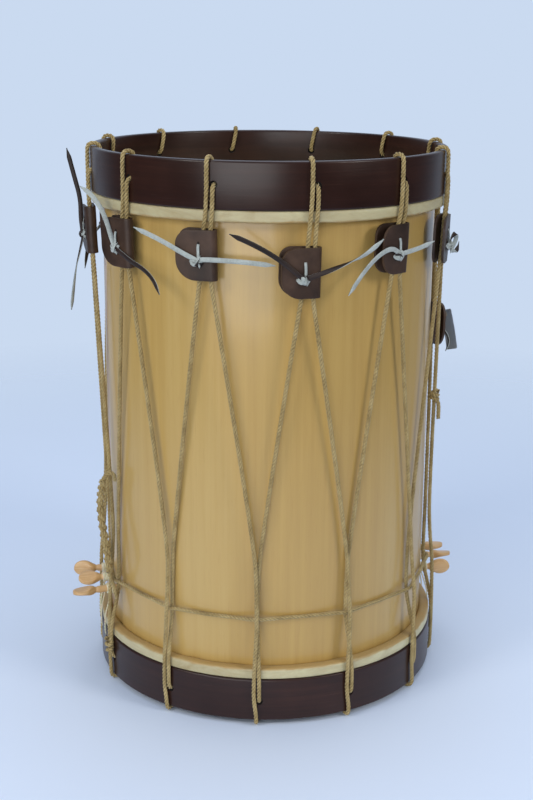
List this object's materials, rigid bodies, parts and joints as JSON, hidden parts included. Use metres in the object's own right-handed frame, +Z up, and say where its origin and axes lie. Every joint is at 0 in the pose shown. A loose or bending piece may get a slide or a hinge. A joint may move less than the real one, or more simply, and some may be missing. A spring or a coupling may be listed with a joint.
{
  "type": "rope-tension bass drum",
  "caption": "Tall cylindrical drum with two skin heads, wooden hoops, rope lacing with sliding leather tugs, and gut snares on turning pegs.",
  "frame": {"origin": "on the drum's axis at the floor, under the rope turns that it stands on", "axes": "+Z up along the drum's axis; -Y is the front; +X is to the right seen from the front"},
  "size_m": [0.463, 0.4691, 0.6195],
  "materials": {
    "shell_wood": "honey beech ply, clear gloss lacquer",
    "hoop_wood": "dark brown stained beech, satin lacquer",
    "inner_wood": "plain sanded wood",
    "peg_wood": "turned light hardwood, oiled",
    "head_skin": "natural goat skin, matt to slightly waxy",
    "rope": "three-strand laid natural rope",
    "tug_leather": "brown vegetable-tanned leather, smooth grain",
    "lace_leather": "dark leather thong, pale grey flesh side",
    "gut": "pale gut strand, slightly waxy",
    "tag_card": "plain grey card, blank"
  },
  "bodies": {
    "drum": {"shell": "shell_wood", "upper_reinforcing_ring": "inner_wood", "lower_reinforcing_ring": "inner_wood", "left_peg_block": "inner_wood", "right_peg_block": "inner_wood", "batter_head_skin": "head_skin", "resonant_head_skin": "head_skin", "batter_flesh_hoop": "inner_wood", "resonant_flesh_hoop": "inner_wood", "top_hoop": "hoop_wood", "bottom_hoop": "hoop_wood", "tension_rope": "rope", "rope_bottom_turns": "rope", "waist_rope": "rope", "surplus_rope_chain": "rope", "rope_knot": "rope", "gut_snare_1": "gut", "gut_snare_2": "gut", "gut_snare_3": "gut"},
    "tuning_tug_01": {"tug_01": "tug_leather", "lace_01": "lace_leather"},
    "tuning_tug_02": {"tug_02": "tug_leather", "lace_02": "lace_leather"},
    "tuning_tug_03": {"tug_03": "tug_leather", "lace_03": "lace_leather"},
    "tuning_tug_04": {"tug_04": "tug_leather", "lace_04": "lace_leather", "hang_tag": "tag_card"},
    "tuning_tug_05": {"tug_05": "tug_leather", "lace_05": "lace_leather"},
    "tuning_tug_06": {"tug_06": "tug_leather", "lace_06": "lace_leather"},
    "tuning_tug_07": {"tug_07": "tug_leather", "lace_07": "lace_leather"},
    "tuning_tug_08": {"tug_08": "tug_leather", "lace_08": "lace_leather"},
    "tuning_tug_09": {"tug_09": "tug_leather", "lace_09": "lace_leather"},
    "tuning_tug_10": {"tug_10": "tug_leather", "lace_10": "lace_leather"},
    "tuning_tug_11": {"tug_11": "tug_leather", "lace_11": "lace_leather"},
    "tuning_tug_12": {"tug_12": "tug_leather", "lace_12": "lace_leather"},
    "snare_peg_left_1": {"peg_left_1": "peg_wood", "peg_winding_left_1": "gut"},
    "snare_peg_left_2": {"peg_left_2": "peg_wood", "peg_winding_left_2": "gut"},
    "snare_peg_left_3": {"peg_left_3": "peg_wood", "peg_winding_left_3": "gut"},
    "snare_peg_right_1": {"peg_right_1": "peg_wood", "peg_winding_right_1": "gut"},
    "snare_peg_right_2": {"peg_right_2": "peg_wood", "peg_winding_right_2": "gut"},
    "snare_peg_right_3": {"peg_right_3": "peg_wood", "peg_winding_right_3": "gut"}
  },
  "joints": [
    {"name": "tug_slide_01", "type": "slide", "parent": "drum", "child": "tuning_tug_01", "axis": [0.0092, -0.04, 0.9992], "range_m": [-0.01, 0.002]},
    {"name": "tug_slide_02", "type": "slide", "parent": "drum", "child": "tuning_tug_02", "axis": [0.0279, -0.03, 0.9992], "range_m": [-0.01, 0.002]},
    {"name": "tug_slide_03", "type": "slide", "parent": "drum", "child": "tuning_tug_03", "axis": [0.0392, -0.0121, 0.9992], "range_m": [-0.01, 0.002]},
    {"name": "tug_slide_04", "type": "slide", "parent": "drum", "child": "tuning_tug_04", "axis": [0.04, 0.0092, 0.9992], "range_m": [-0.01, 0.002]},
    {"name": "tug_slide_05", "type": "slide", "parent": "drum", "child": "tuning_tug_05", "axis": [0.03, 0.0279, 0.9992], "range_m": [-0.01, 0.002]},
    {"name": "tug_slide_06", "type": "slide", "parent": "drum", "child": "tuning_tug_06", "axis": [0.0121, 0.0392, 0.9992], "range_m": [-0.01, 0.002]},
    {"name": "tug_slide_07", "type": "slide", "parent": "drum", "child": "tuning_tug_07", "axis": [-0.0092, 0.04, 0.9992], "range_m": [-0.01, 0.002]},
    {"name": "tug_slide_08", "type": "slide", "parent": "drum", "child": "tuning_tug_08", "axis": [-0.0279, 0.03, 0.9992], "range_m": [-0.01, 0.002]},
    {"name": "tug_slide_09", "type": "slide", "parent": "drum", "child": "tuning_tug_09", "axis": [-0.0392, 0.0121, 0.9992], "range_m": [-0.01, 0.002]},
    {"name": "tug_slide_10", "type": "slide", "parent": "drum", "child": "tuning_tug_10", "axis": [-0.04, -0.0092, 0.9992], "range_m": [-0.01, 0.002]},
    {"name": "tug_slide_11", "type": "slide", "parent": "drum", "child": "tuning_tug_11", "axis": [-0.03, -0.0279, 0.9992], "range_m": [-0.01, 0.002]},
    {"name": "tug_slide_12", "type": "slide", "parent": "drum", "child": "tuning_tug_12", "axis": [-0.0121, -0.0392, 0.9992], "range_m": [-0.01, 0.002]},
    {"name": "peg_turn_left_1", "type": "hinge", "parent": "drum", "child": "snare_peg_left_1", "pos_m": [-0.17627, -0.06242, 0.10325], "axis": [-0.9426, -0.3338, 0], "continuous": true},
    {"name": "peg_turn_left_2", "type": "hinge", "parent": "drum", "child": "snare_peg_left_2", "pos_m": [-0.18291, -0.03888, 0.10725], "axis": [-0.9781, -0.2079, 0], "continuous": true},
    {"name": "peg_turn_left_3", "type": "hinge", "parent": "drum", "child": "snare_peg_left_3", "pos_m": [-0.18642, -0.01467, 0.10825], "axis": [-0.9969, -0.0785, 0], "continuous": true},
    {"name": "peg_turn_right_1", "type": "hinge", "parent": "drum", "child": "snare_peg_right_1", "pos_m": [0.18642, 0.01467, 0.09925], "axis": [0.9969, 0.0785, 0], "continuous": true},
    {"name": "peg_turn_right_2", "type": "hinge", "parent": "drum", "child": "snare_peg_right_2", "pos_m": [0.18291, 0.03888, 0.10375], "axis": [0.9781, 0.2079, 0], "continuous": true},
    {"name": "peg_turn_right_3", "type": "hinge", "parent": "drum", "child": "snare_peg_right_3", "pos_m": [0.17627, 0.06242, 0.10325], "axis": [0.9426, 0.3338, 0], "continuous": true}
  ]
}
